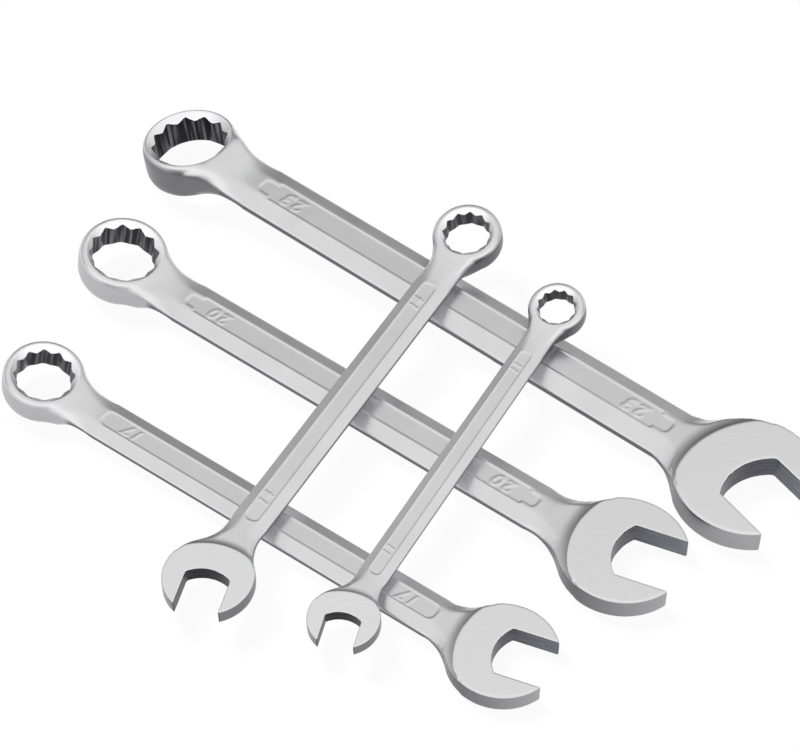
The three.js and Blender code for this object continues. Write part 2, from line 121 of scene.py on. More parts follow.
wrenches = [
    {
        "name": "wrench_23mm", "number": "23", "acrossFlats": 23, "centres": 227.7,
        "ringRadius": 16.6, "rimWidth": 1.7, "ringHeight": 13.5, "jawRadius": 23.7, "jawThickness": 9.1,
        "shankThickness": 7, "panelWidth": 8.9, "starAngle": 12, "shoulders": True, "panelSink": 0.24,
        "ringPlace": (-73.859, 104.953, 11.205), "heading": -38.2, "pitch": 1.509, "faceDown": True,
        "panelStart": 31.9, "panelEnd": 201.5, "numberPlaces": (46.4, 188.2), "numberHeight": 5.7,
        "ringWallShade": 0.9, "slotShadeTones": ("62626a", "80808a"), "tipShadeLift": 0.42,
        "skinVoxel": 0.3,
    },
    {
        "name": "wrench_20mm", "number": "20", "acrossFlats": 20, "centres": 199,
        "ringRadius": 15.1, "rimWidth": 2.3, "ringHeight": 12, "jawRadius": 20.6, "jawThickness": 7.9,
        "shankThickness": 6, "panelWidth": 7.7, "starAngle": 13.5, "shoulders": True, "panelSink": 0.24,
        "ringPlace": (-94.559, 54.153, 6.305), "heading": -37.1, "pitch": 0.611, "faceDown": False,
        "panelStart": 28.4, "panelEnd": 170.3, "numberPlaces": (42.3, 157.6), "numberHeight": 5,
        "ringWallShade": 0.4, "slotShadeTones": ("62626a", "80808a"), "tipShadeLift": 0.42,
        "skinVoxel": 0.27,
    },
    {
        "name": "wrench_17mm", "number": "17", "acrossFlats": 17, "centres": 178,
        "ringRadius": 13.5, "rimWidth": 2.2, "ringHeight": 10.5, "jawRadius": 17.5, "jawThickness": 6.8,
        "shankThickness": 5.2, "panelWidth": 6.5, "starAngle": 10.5, "shoulders": False, "panelSink": 0.22,
        "ringPlace": (-117.159, 1.753, 5.595), "heading": -36.2, "pitch": 0.64, "faceDown": False,
        "panelStart": 25.5, "panelEnd": 156.5, "numberPlaces": (37.8, 146.4), "numberHeight": 4.3,
        "ringWallShade": 0.4, "slotShadeTones": ("5c5c63", "787880"), "tipShadeLift": 0.42,
        "skinVoxel": 0.24,
    },
    {
        "name": "wrench_14mm", "number": "14", "acrossFlats": 14, "centres": 156.2,
        "ringRadius": 11.7, "rimWidth": 2.4, "ringHeight": 9, "jawRadius": 14.4, "jawThickness": 5.6,
        "shankThickness": 4.3, "panelWidth": 5.4, "starAngle": 22, "shoulders": False, "panelSink": 0.18,
        "ringPlace": (20.741, 55.853, 16.285), "heading": -121, "pitch": 2.594, "faceDown": False,
        "panelStart": 24, "panelEnd": 134, "numberPlaces": (33.7, 125), "numberHeight": 3.6,
        "ringWallShade": 1, "slotShadeTones": ("36363b", "54545a"), "tipShadeLift": 0.12,
        "skinVoxel": 0.2,
    },
    {
        "name": "wrench_11mm", "number": "11", "acrossFlats": 11, "centres": 135.8,
        "ringRadius": 9.5, "rimWidth": 2.1, "ringHeight": 7.5, "jawRadius": 11.3, "jawThickness": 4.5,
        "shankThickness": 3.5, "panelWidth": 4.3, "starAngle": 4, "shoulders": False, "panelSink": 0.15,
        "ringPlace": (49.441, 23.953, 15.606), "heading": -120, "pitch": 2.88, "faceDown": False,
        "panelStart": 20.5, "panelEnd": 119, "numberPlaces": (27.9, 109.5), "numberHeight": 2.9,
        "ringWallShade": 1, "slotShadeTones": ("36363b", "54545a"), "tipShadeLift": 0.12,
        "skinVoxel": 0.17,
    },
]

# How all five are forged and machined, in mm and degrees unless the name says share
forging = {
    "panelShare": 0.95,       # of the flat crown's width
    "noseLengthShare": 0.62,  # of the panel's width, where its ends have shoulders
    "noseWidthShare": 0.7,    # of the panel's width
    "noseCornerShare": 0.42,  # of the nose's width
    "shoulderShare": 0.1,     # of the panel's width, the shoulders' corners
    "roundEndShare": 0.49,    # of the panel's width, where its ends are round
    "planedPast": 0.5,        # how far the shank is planed beyond the panel's ends
    "nutClearance": 0.2,
    "jawAngle": 15,
    "ringTilt": 10,
    "leadInAngle": 40,
    "ringRiseShare": 0.1,     # of the nut
    "headCentreShare": 0.15,  # of the nut
    "throatShare": 0.8,       # of the nut
    "throatCornerShare": 0.1,
    "jawEdgeShare": 0.07,     # of the jaw's thickness
    "headFillShare": 0.3,     # of the nut
    "rimDropShare": 0.45,     # of the rim's width
    "rimEdgeShare": 0.2,      # of the rim's width
    "rimBandDrop": 0.16,      # how much thinner the ring is across its flat bands
    "groundDepth": 0.12,
    "stoneShare": 1.6,        # of the jaw's radius
    "numberRise": 0.16,
    "numberWeight": 0.02,     # how much the figures' strokes are thickened, of their height
    "numberShear": 0.25,
    "numberSpacing": 1.2,
    "blankVoxelShare": 1.3,   # of the skin's voxel
    "softenPasses": 10,
    "skinPasses": 5,
    "keptFaces": 0.45,        # share kept when the skin is thinned out
    "neckPasses": 100,
    "neckOnRing": (0.45, 0.95),  # of the ring's radius, where a neck's softening starts and is full
    "neckOnPanel": 0.2,       # of the nut, over which it fades at the panel's ends
    "neckOnJaw": (1.3, 1.0),  # of the nut, how far before the jaw's centre it fades and ends
    "coveCentreShare": 0.79,  # of the nut, the circle along which the ground face ends
    "coveRadiusShare": 1.45,  # of the nut
    "coveReachShare": 0.24,   # of the nut
    "coveShade": 0.7,          # how dark the painted shade in the cove is, 1 as on the sides
}


def frameOf(wrench):  # from the wrench's own frame to its place on the bench
    turnOver = Matrix.Rotation(math.pi if wrench["faceDown"] else 0, 4, "X")
    lean = Matrix.Rotation(math.radians(wrench["pitch"]), 4, "Y")
    heading = Matrix.Rotation(math.radians(wrench["heading"]), 4, "Z")
    return Matrix.Translation(Vector(wrench["ringPlace"]) * mm) @ heading @ lean @ turnOver


def ringFrame(wrench):
    rise = forging["ringRiseShare"] * wrench["acrossFlats"] * mm
    return Matrix.Translation((0, 0, rise)) @ Matrix.Rotation(math.radians(forging["ringTilt"]), 4, "Y")


def jawFrame(wrench):
    place = Matrix.Translation((wrench["centres"] * mm, 0, 0))
    return place @ Matrix.Rotation(math.radians(forging["jawAngle"]), 4, "Z")


def roughForging(wrench):
    # A merged copy of the solid in the wrench's own frame, with its bore and its slot filled
    node = frame["nodes"][wrench["name"]]
    pick(node)
    bpy.ops.object.duplicate()
    blank = bpy.context.object
    blank.parent = None
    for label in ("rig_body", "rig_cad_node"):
        del blank[label]
    blank.name = "forging_" + wrench["number"]
    settle(blank, frameOf(wrench).inverted())
    bpy.ops.object.mode_set(mode="EDIT")
    bpy.ops.mesh.select_all(action="SELECT")
    bpy.ops.mesh.remove_doubles(threshold=0.001 * mm)
    bpy.ops.object.mode_set(mode="OBJECT")

    mouth = (wrench["ringRadius"] - wrench["rimWidth"]) * mm
    bpy.ops.mesh.primitive_cylinder_add(vertices=96, radius=mouth, depth=wrench["ringHeight"] * mm)
    plug = settle(bpy.context.object, ringFrame(wrench))

    def alongRim(start, end):
        return abs(start.z - end.z) < hair

    # the rim's flat band, which a turned face leaves on the barrel
    bpy.ops.mesh.primitive_cylinder_add(
        vertices=128, radius=(wrench["ringRadius"] - forging["rimDropShare"] * wrench["rimWidth"]) * mm,
        depth=(wrench["ringHeight"] - forging["rimBandDrop"]) * mm)
    rim = settle(bpy.context.object)
    bevelEdges(rim, alongRim, forging["rimEdgeShare"] * wrench["rimWidth"] * mm, 3)
    settle(rim, ringFrame(wrench))

    # the jaw's own disc, as far back as the slot reaches
    edge = forging["jawEdgeShare"] * wrench["jawThickness"] * mm
    centre = forging["headCentreShare"] * wrench["acrossFlats"] * mm
    bpy.ops.mesh.primitive_cylinder_add(
        vertices=128, radius=wrench["jawRadius"] * mm, depth=wrench["jawThickness"] * mm,
        location=(centre, 0, 0))
    head = settle(bpy.context.object)
    bevelEdges(head, alongRim, edge, 4)
    back = -forging["headFillShare"] * wrench["acrossFlats"] * mm
    bpy.ops.object.mode_set(mode="EDIT")
    bpy.ops.mesh.select_all(action="SELECT")
    bpy.ops.mesh.bisect(plane_co=(back, 0, 0), plane_no=(1, 0, 0), clear_inner=True, use_fill=True)
    bpy.ops.object.mode_set(mode="OBJECT")
    settle(head, jawFrame(wrench))

    pick(blank)
    for part in (plug, rim, head):
        part.select_set(True)
    bpy.ops.object.join()
    return blank


def soften(thing, voxel, passes):
    finishWith(thing, "REMESH", mode="VOXEL", voxel_size=voxel * mm, adaptivity=0)
    finishWith(thing, "SMOOTH", factor=0.5, iterations=passes)


def softenNecks(wrench, body):
    # Between the ring, the panel and the jaw the forging has no edges, only soft shoulders
    nut = wrench["acrossFlats"]
    ringLow, ringFull = (share * wrench["ringRadius"] for share in forging["neckOnRing"])
    jawFull, jawEnd = (wrench["centres"] - share * nut for share in forging["neckOnJaw"])
    fade = forging["neckOnPanel"] * nut
    spans = (
        (ringLow, ringFull, wrench["panelStart"] - fade, wrench["panelStart"]),
        (wrench["panelEnd"], wrench["panelEnd"] + fade, jawFull, jawEnd),
    )
    byWeight = {}
    for vertex in body.data.vertices:
        x = vertex.co.x / mm
        for low, full, fullEnd, end in spans:
            if low < x < end:
                weight = min((x - low) / (full - low), 1, (end - x) / (end - fullEnd))
                byWeight.setdefault(round(weight, 1), []).append(vertex.index)
    necks = body.vertex_groups.new(name="necks")
    for weight, indices in byWeight.items():
        necks.add(indices, weight, "REPLACE")
    finishWith(body, "SMOOTH", factor=0.5, iterations=forging["neckPasses"], vertex_group="necks")


def planeShank(wrench, body):
    # Both faces of the shank are planed flat where the panel goes
    start = (wrench["panelStart"] - forging["planedPast"]) * mm
    end = (wrench["panelEnd"] + forging["planedPast"]) * mm
    face = wrench["shankThickness"] / 2 * mm
    height = 4 * mm
    for side in (1, -1):
        bpy.ops.mesh.primitive_cube_add(size=1, location=((start + end) / 2, 0, side * (face + height / 2)))
        plane = bpy.context.object
        plane.scale = (end - start, 2 * wrench["panelWidth"] * mm, height)
        combine(body, settle(plane), "DIFFERENCE")


def panelTools(wrench):
    # The panel on each face is a shallow pocket, with a nose between two shoulders or with round ends
    face = wrench["shankThickness"] / 2 * mm
    sink = wrench["panelSink"] * mm
    width = forging["panelShare"] * wrench["panelWidth"] * mm
    start, end = wrench["panelStart"] * mm, wrench["panelEnd"] * mm
    noseLength = forging["noseLengthShare"] * width
    noseWidth = forging["noseWidthShare"] * width
    height = 2 * mm

    def bar(low, high, across, corner, profile):  # profile 0.5 is a round corner, above it a fuller one
        bpy.ops.mesh.primitive_cube_add(size=1, location=((low + high) / 2, 0, 0))
        piece = bpy.context.object
        piece.scale = (high - low, across, height)
        settle(piece)
        bevelEdges(piece, upright, corner, 8, profile)
        return piece

    tools = []
    for side in (1, -1):
        if wrench["shoulders"]:
            panel = bar(start + noseLength, end - noseLength, width, forging["shoulderShare"] * width, 0.5)
            nose = bar(start, end, noseWidth, forging["noseCornerShare"] * noseWidth, 0.6)
            combine(panel, nose, "UNION")
        else:
            panel = bar(start, end, width, forging["roundEndShare"] * width, 0.62)
        tools.append(settle(panel, Matrix.Translation((0, 0, side * (face - sink + height / 2)))))
    return tools


def numberTools(wrench):
    # The size in raised italic figures near both ends, on both faces, read from the ring's side
    rise = forging["numberRise"] * mm
    floor = (wrench["shankThickness"] / 2 - wrench["panelSink"]) * mm
    figures = []
    for place in wrench["numberPlaces"]:
        for face in (0, math.pi):
            bpy.ops.object.text_add()
            text = bpy.context.object
            text.data.body = wrench["number"]
            text.data.size = wrench["numberHeight"] * mm / 0.72  # a figure is 0.72 of the letter size high
            text.data.extrude = 2 * rise
            text.data.offset = forging["numberWeight"] * wrench["numberHeight"] * mm
            text.data.shear = forging["numberShear"]
            text.data.space_character = forging["numberSpacing"]
            text.data.align_x = "CENTER"
            text.data.align_y = "CENTER"
            text.data.resolution_u = 8
            pick(text)
            bpy.ops.object.convert(target="MESH")
            onFace = Matrix.Rotation(face, 4, "X") @ Matrix.Translation((0, 0, floor - rise))
            turned = onFace @ Matrix.Rotation(math.pi, 4, "Z")
            settle(text, Matrix.Translation((place * mm, 0, 0)) @ turned)
            figures.append(text)
    return figures


def boreTools(wrench):
    # Two hexagons a twelfth of a turn apart make the twelve points, and a cone on each face leads in
    half = wrench["ringHeight"] * mm / 2
    flat = (wrench["acrossFlats"] + forging["nutClearance"]) * mm / 2
    mouth = (wrench["ringRadius"] - wrench["rimWidth"]) * mm
    over = 3 * mm
    slope = math.tan(math.radians(forging["leadInAngle"]))
    tools = []
    for turn in (0, 30):
        bpy.ops.mesh.primitive_cylinder_add(
            vertices=6, radius=flat / math.cos(math.pi / 6), depth=2 * (half + over))
        hexagon = bpy.context.object
        # the primitive's first corner lies on its Y axis
        hexagon.rotation_euler.z = math.radians(wrench["starAngle"] + turn - 90)
        tools.append(settle(hexagon))
    for side in (1, -1):
        depth = mouth * slope + over
        bpy.ops.mesh.primitive_cone_add(
            vertices=128, radius1=0, radius2=depth / slope, depth=depth,
            location=(0, 0, half + over - depth / 2))
        cone = settle(bpy.context.object)
        tools.append(settle(cone, Matrix.Rotation(0 if side > 0 else math.pi, 4, "X")))
    return [settle(tool, ringFrame(wrench)) for tool in tools]


def slotTool(wrench):
    # A round bar cut down to the two flats, drawn out past the tips, with small corners at its bottom
    nut = wrench["acrossFlats"] * mm
    half = (nut + forging["nutClearance"] * mm) / 2
    throat = forging["throatShare"] * nut
    bpy.ops.mesh.primitive_cylinder_add(vertices=192, radius=throat, depth=2 * nut, location=(throat, 0, 0))
    slot = settle(bpy.context.object)
    bpy.ops.object.mode_set(mode="EDIT")
    cuts = (((0, half, 0), (0, 1, 0)), ((0, -half, 0), (0, -1, 0)), ((throat, 0, 0), (1, 0, 0)))
    for place, normal in cuts:
        bpy.ops.mesh.select_all(action="SELECT")
        bpy.ops.mesh.bisect(plane_co=place, plane_no=normal, clear_outer=True, use_fill=True)
    bpy.ops.object.mode_set(mode="OBJECT")
    editEdges(slot, lambda start, end: start.x > throat - hair and end.x > throat - hair)
    bpy.ops.mesh.select_mode(type="FACE")
    bpy.ops.mesh.extrude_region_move(TRANSFORM_OT_translate={"value": (nut, 0, 0)})
    bpy.ops.object.mode_set(mode="OBJECT")
    corner = forging["throatCornerShare"] * nut

    def bottomCorner(start, end):
        return upright(start, end) and abs(abs(start.y) - half) < hair and start.x < throat - corner

    bevelEdges(slot, bottomCorner, corner, 5)
    return settle(slot, jawFrame(wrench))


def grindJaw(wrench, body):
    # Two flat stones grind both faces of the jaw level
    reach = forging["stoneShare"] * wrench["jawRadius"] * mm
    face = (wrench["jawThickness"] / 2 - forging["groundDepth"]) * mm
    for side in (1, -1):
        bpy.ops.mesh.primitive_cube_add(size=1, location=(0, 0, side * (face + reach / 2)))
        stone = bpy.context.object
        stone.scale = (2 * reach, 2 * reach, reach)
        settle(stone)
        combine(body, settle(stone, jawFrame(wrench)), "DIFFERENCE")


def flattenGround(wrench, body):
    # The ground faces are true planes again after the skin is softened
    ground = (wrench["jawThickness"] / 2 - forging["groundDepth"]) * mm
    for side in (1, -1):
        pick(body)
        bpy.ops.object.mode_set(mode="EDIT")
        bpy.ops.mesh.select_mode(type="VERT")
        bpy.ops.mesh.select_all(action="DESELECT")
        bpy.ops.object.mode_set(mode="OBJECT")
        for vertex in body.data.vertices:
            # near the plane, and level within about 6 degrees
            near = abs(vertex.co.z - side * ground) < 2 * hair and vertex.normal.z * side > 0.995
            vertex.select = near and vertex.co.x > wrench["panelEnd"] * mm
        bpy.ops.object.mode_set(mode="EDIT")
        bpy.ops.transform.resize(value=(1, 1, 0), center_override=(0, 0, side * ground))
        bpy.ops.object.mode_set(mode="OBJECT")


def forgeWrench(wrench):
    body = roughForging(wrench)
    soften(body, forging["blankVoxelShare"] * wrench["skinVoxel"], forging["softenPasses"])
    softenNecks(wrench, body)
    grindJaw(wrench, body)
    planeShank(wrench, body)
    for tool in panelTools(wrench) + boreTools(wrench):
        combine(body, tool, "DIFFERENCE")
    combine(body, slotTool(wrench), "DIFFERENCE")
    pick(body)
    for figure in numberTools(wrench):
        figure.select_set(True)
    body.select_set(True)
    bpy.context.view_layer.objects.active = body
    bpy.ops.object.join()
    soften(body, wrench["skinVoxel"], forging["skinPasses"])
    finishWith(body, "DECIMATE", ratio=forging["keptFaces"])
    flattenGround(wrench, body)
    print(wrench["name"], "has", len(body.data.polygons), "faces")
    return body


# Where one finish gives way to the next, and where the painted shade lies. Slacks are in mm, and a tilt is a
# normal's upright part: 1 on a level face, 0 on an upright one.
finishLimits = {
    "edgeSlack": 0.12,        # under the cone and under the ground faces
    "pointSlack": 0.3,        # beyond the bore's points
    "slotSlack": 0.35,        # beyond the slot's walls
    "ringSlack": 1,           # beyond the ring
    "levelTilt": 0.97,        # a ground face is more level than this
    "wallTilt": 0.6,          # a slot's wall is more upright than this
    "upperSide": (0.55, 0.35),  # the tilt at which the painted shade on the sides starts, and its range
    "underSide": (0.95, 0.3),
    "ringFadeShare": 0.3,     # of the ring's radius, over which the painted shade grows along the shank
    "tipStartShare": 0.3,     # of the jaw's radius, before its middle, where the painted shade starts to lift
    "tipSpanShare": 1.2,      # of the jaw's radius, over which the painted shade lifts
    "coveFall": 1.5,          # how steeply the painted shade in the cove falls off, 1 is evenly
}
finishOrder = {"forged": 0, "ground": 1, "bore": 2, "leadIn": 3, "slot": 4}


def within(share):
    return min(max(share, 0), 1)


def finishesAndShade(wrench, body):
    # Which finish each face has, told by its place in the wrench's own frame; the painted shade on the
    # sides, the ring's wall and the cove is an attribute, because it runs softly over from the satin of the
    # faces
    toJaw = jawFrame(wrench).inverted()
    toRing = ringFrame(wrench).inverted()
    half = (wrench["acrossFlats"] + forging["nutClearance"]) * mm / 2
    tips = half / math.cos(math.pi / 6)
    mouth = (wrench["ringRadius"] - wrench["rimWidth"]) * mm
    slope = math.tan(math.radians(forging["leadInAngle"]))
    coneBottom = wrench["ringHeight"] * mm / 2 - mouth * slope
    ground = (wrench["jawThickness"] / 2 - forging["groundDepth"]) * mm
    reach = (wrench["ringRadius"] + finishLimits["ringSlack"]) * mm
    edgeSlack = finishLimits["edgeSlack"] * mm
    slotSlack = finishLimits["slotSlack"] * mm
    for face in body.data.polygons:
        at, normal = face.center, face.normal
        if at.x < reach:
            place = toRing @ at
            out = math.hypot(place.x, place.y)
            if out < mouth + 5 * hair:
                onCone = abs(place.z) > coneBottom + out * slope - edgeSlack
                past = out > tips + finishLimits["pointSlack"] * mm
                face.material_index = finishOrder["leadIn" if onCone or past else "bore"]
        elif at.x > wrench["panelEnd"] * mm:
            place = toJaw @ at
            inSlot = abs(place.y) < half + slotSlack and place.x > -slotSlack
            if abs(normal.z) > finishLimits["levelTilt"] and abs(place.z) > ground - edgeSlack:
                face.material_index = finishOrder["ground"]
            elif abs(normal.z) < finishLimits["wallTilt"] and inSlot:
                face.material_index = finishOrder["slot"]
    # the share of painted shade at each point
    sideShade = body.data.attributes.new("sideShadeShare", "FLOAT", "POINT")
    upSide = -1 if wrench["faceDown"] else 1
    upperStart, upperRange = finishLimits["upperSide"]
    underStart, underRange = finishLimits["underSide"]
    tipReach = wrench["jawRadius"] * mm
    tipStart, tipSpan = finishLimits["tipStartShare"] * tipReach, finishLimits["tipSpanShare"] * tipReach
    coveCentre = Vector((forging["coveCentreShare"] * wrench["acrossFlats"] * mm, 0, 0))
    shares = []
    for vertex in body.data.vertices:
        # painted shade: the steeper a side stands on the bench, the darker it is, and upright sides are
        # darkest
        up = vertex.normal.z * upSide
        steep = (upperStart - up) / upperRange if up > 0 else (underStart + up) / underRange
        pastRing = vertex.co.x / mm - wrench["ringRadius"]
        onShank = pastRing / (finishLimits["ringFadeShare"] * wrench["ringRadius"])
        onJaw = toJaw @ vertex.co
        # painted shade on the ring's wall as ringWallShade gives it, and less of it towards the jaw's tips
        share = within(steep) * min(max(onShank, wrench["ringWallShade"]), 1)
        share *= 1 - wrench["tipShadeLift"] * within((onJaw.x + tipStart) / tipSpan)
        # painted shade in the cove behind the jaw's ground face
        fromCove = onJaw - coveCentre
        beyond = math.hypot(fromCove.x, fromCove.y) / mm / wrench["acrossFlats"] - forging["coveRadiusShare"]
        if vertex.co.x > wrench["panelEnd"] * mm and beyond > 0:
            left = 1 - min(beyond / forging["coveReachShare"], 1)
            share = max(share, forging["coveShade"] * left ** finishLimits["coveFall"])
        shares.append(share)
    sideShade.data.foreach_set("value", shares)


# Materials

def linear(hexColour):
    channels = [int(hexColour[i:i + 2], 16) / 255 for i in (0, 2, 4)]
    return tuple(c / 12.92 if c <= 0.04045 else ((c + 0.055) / 1.055) ** 2.4 for c in channels) + (1,)


def addNode(tree, kind, settings=None, links=None):
    node = tree.nodes.new(kind)
    for name, value in (settings or {}).items():
        if isinstance(name, int) or name in node.inputs:
            node.inputs[name].default_value = value
        else:
            setattr(node, name, value)
    for name, source in (links or {}).items():
        tree.links.new(source, node.inputs[name])
    return node


def newMaterial(name):
    material = bpy.data.materials.new(name)
    material.use_nodes = True
    material.node_tree.nodes.clear()
    return material, material.node_tree


satin = {
    "faces": "dededf",
    # painted shade for the sides, the ring's wall and the cove
    "paintedSideShade": "66666c",
    "grain": 0.6,            # mm between the blasted pits, coarser than real ones so that they show
    "grainHeight": 0.05,     # mm
    "grainStrength": 0.3,
    "cloud": 16,             # mm across the faint patches
    "cloudTone": (0.93, 1),
    "roughness": (0.27, 0.36),
}


def satinChromeAndSideShade():
    # Chrome over a blasted forging: a soft grey shine with a fine even grain and faint patches,
    # with painted shade on the steep sides, the ring's wall and the cove
    material, tree = newMaterial("satinChromeAndSideShade")
    place = addNode(tree, "ShaderNodeTexCoord")
    here = place.outputs["Object"]
    grain = addNode(tree, "ShaderNodeTexNoise",
                    {"Scale": 1 / (satin["grain"] * mm), "Detail": 3.0, "Roughness": 0.65}, {"Vector": here})
    cloud = addNode(tree, "ShaderNodeTexNoise",
                    {"Scale": 1 / (satin["cloud"] * mm), "Detail": 3.0}, {"Vector": here})
    # painted shade on the sides, the ring's wall and the cove, as a share from 0 to 1
    side = addNode(tree, "ShaderNodeAttribute", {"attribute_name": "sideShadeShare"})
    low, high = satin["cloudTone"]
    tone = addNode(tree, "ShaderNodeMapRange",
                   {"From Min": 0.3, "From Max": 0.7, "To Min": low, "To Max": high},
                   {"Value": cloud.outputs["Fac"]})
    faces = addNode(tree, "ShaderNodeMix", {"data_type": "RGBA", 6: linear(satin["faces"]),
                    7: linear(satin["paintedSideShade"])}, {0: side.outputs["Fac"]})
    toned = addNode(tree, "ShaderNodeVectorMath", {"operation": "SCALE"},
                    {0: faces.outputs[2], "Scale": tone.outputs["Result"]})
    low, high = satin["roughness"]
    sheen = addNode(tree, "ShaderNodeMapRange", {"To Min": low, "To Max": high},
                    {"Value": cloud.outputs["Fac"]})
    relief = addNode(tree, "ShaderNodeBump",
                     {"Strength": satin["grainStrength"], "Distance": satin["grainHeight"] * mm},
                     {"Height": grain.outputs["Fac"]})
    shader = addNode(tree, "ShaderNodeBsdfPrincipled", {"Metallic": 1.0},
                     {"Base Color": toned.outputs[0], "Roughness": sheen.outputs["Result"],
                      "Normal": relief.outputs["Normal"]})
    addNode(tree, "ShaderNodeOutputMaterial", links={"Surface": shader.outputs["BSDF"]})
    return material


grinding = {
    "colour": "e7e7e8",
    "lineLength": 4,         # mm, coarser than real ones so that they show
    "lineShare": 5,          # how many times as long as wide
    "lineTurn": 0.5,         # radians from the bench's X
    "tone": (0.96, 1),
    "roughness": (0.27, 0.34),
}


def groundJawFace():
    # The jaw's faces are ground flat before plating: smoother and a little lighter than the forging
    material, tree = newMaterial("groundJawFace")
    place = addNode(tree, "ShaderNodeTexCoord")
    stretch = addNode(tree, "ShaderNodeMapping",
                      {"Rotation": (0, 0, grinding["lineTurn"]), "Scale": (1, grinding["lineShare"], 1)},
                      {"Vector": place.outputs["Object"]})
    lines = addNode(tree, "ShaderNodeTexNoise",
                    {"Scale": 1 / (grinding["lineLength"] * mm), "Detail": 1.0, "Roughness": 0.5},
                    {"Vector": stretch.outputs["Vector"]})
    low, high = grinding["roughness"]
    sheen = addNode(tree, "ShaderNodeMapRange", {"To Min": low, "To Max": high},
                    {"Value": lines.outputs["Fac"]})
    low, high = grinding["tone"]
    tone = addNode(tree, "ShaderNodeMapRange",
                   {"From Min": 0.3, "From Max": 0.7, "To Min": low, "To Max": high},
                   {"Value": lines.outputs["Fac"]})
    toned = addNode(tree, "ShaderNodeVectorMath", {"operation": "SCALE", 0: linear(grinding["colour"])[:3]},
                    {"Scale": tone.outputs["Result"]})
    shader = addNode(tree, "ShaderNodeBsdfPrincipled", {"Metallic": 1.0},
                     {"Base Color": toned.outputs[0], "Roughness": sheen.outputs["Result"]})
    addNode(tree, "ShaderNodeOutputMaterial", links={"Surface": shader.outputs["BSDF"]})
    return material


turning = {
    "colour": "f2f2f4",
    "marks": 0.8,            # mm
    "roughness": (0.3, 0.38),
}


def turnedLeadIn():
    # The cone that leads the nut into the ring is turned, so it is the brightest surface
    material, tree = newMaterial("turnedLeadIn")
    place = addNode(tree, "ShaderNodeTexCoord")
    marks = addNode(tree, "ShaderNodeTexNoise", {"Scale": 1 / (turning["marks"] * mm), "Detail": 2.0},
                    {"Vector": place.outputs["Object"]})
    low, high = turning["roughness"]
    sheen = addNode(tree, "ShaderNodeMapRange", {"To Min": low, "To Max": high},
                    {"Value": marks.outputs["Fac"]})
    shader = addNode(tree, "ShaderNodeBsdfPrincipled",
                     {"Base Color": linear(turning["colour"]), "Metallic": 1.0},
                     {"Roughness": sheen.outputs["Result"]})
    addNode(tree, "ShaderNodeOutputMaterial", links={"Surface": shader.outputs["BSDF"]})
    return material


# A streak's width and height are in mm, and the cut runs along the axes where along is small. The steel's
# dark tones are partly painted shade, and depthShade scales the tone from the ring's or the jaw's middle to
# reach, in mm along X, as painted shade that is darker deep inside.
broaching = {
    "along": (1, 1, 0.06), "streak": 1.1, "steel": ("26262b", "82828a"), "reach": 1, "depthShade": (1, 1),
}
# painted shade: darker deep in the slot, lighter towards the tips
milling = {"along": (0.06, 0.06, 1), "streak": 0.7, "depthShade": (0.6, 1.5)}
cutSheen = {"roughness": (0.28, 0.45), "height": 0.03, "strength": 0.06, "steelStops": (0.45, 0.8)}


def cutSteel(name, own, cut):
    # Steel as the cutter left it: light streaks along the cut on a dark tone that is partly painted shade,
    # and painted shade darker still towards the ring's or the jaw's middle where depthShade asks for it
    material, tree = newMaterial(name)
    place = addNode(tree, "ShaderNodeTexCoord")
    here = addNode(tree, "ShaderNodeMapping", {"Location": own.to_translation(), "Rotation": own.to_euler()},
                   {"Vector": place.outputs["Object"]})
    drawn = addNode(tree, "ShaderNodeVectorMath", {"operation": "MULTIPLY", 1: cut["along"]},
                    {0: here.outputs["Vector"]})
    streaks = addNode(tree, "ShaderNodeTexNoise",
                      {"Scale": 1 / (cut["streak"] * mm), "Detail": 2.0, "Roughness": 0.5},
                      {"Vector": drawn.outputs["Vector"]})
    steel = addNode(tree, "ShaderNodeValToRGB", links={0: streaks.outputs["Fac"]})
    for stop, position, colour in zip(steel.color_ramp.elements, cutSheen["steelStops"], cut["steel"]):
        stop.position = position
        stop.color = linear(colour)
    parts = addNode(tree, "ShaderNodeSeparateXYZ", links={0: here.outputs["Vector"]})
    low, high = cut["depthShade"]
    depthShade = addNode(tree, "ShaderNodeMapRange",
                      {"From Max": cut["reach"] * mm, "To Min": low, "To Max": high},
                      {"Value": parts.outputs["X"]})
    depthShaded = addNode(tree, "ShaderNodeVectorMath", {"operation": "SCALE"},
                     {0: steel.outputs["Color"], "Scale": depthShade.outputs["Result"]})
    low, high = cutSheen["roughness"]
    sheen = addNode(tree, "ShaderNodeMapRange", {"To Min": low, "To Max": high},
                    {"Value": streaks.outputs["Fac"]})
    relief = addNode(tree, "ShaderNodeBump",
                     {"Strength": cutSheen["strength"], "Distance": cutSheen["height"] * mm},
                     {"Height": streaks.outputs["Fac"]})
    shader = addNode(tree, "ShaderNodeBsdfPrincipled", {"Metallic": 1.0},
                     {"Base Color": depthShaded.outputs[0], "Roughness": sheen.outputs["Result"],
                      "Normal": relief.outputs["Normal"]})
    addNode(tree, "ShaderNodeOutputMaterial", links={"Surface": shader.outputs["BSDF"]})
    return material


def broachedBoreAndShade(wrench):  # streaks run through the bore
    own = (frameOf(wrench) @ ringFrame(wrench)).inverted()
    return cutSteel("broachedBoreAndShade" + wrench["number"], own, broaching)


def milledSlotAndShade(wrench):  # streaks run along the jaw's flats
    own = (frameOf(wrench) @ jawFrame(wrench)).inverted()
    cut = {**milling, "reach": wrench["jawRadius"], "steel": wrench["slotShadeTones"]}
    return cutSteel("milledSlotAndShade" + wrench["number"], own, cut)


# The bench and the light

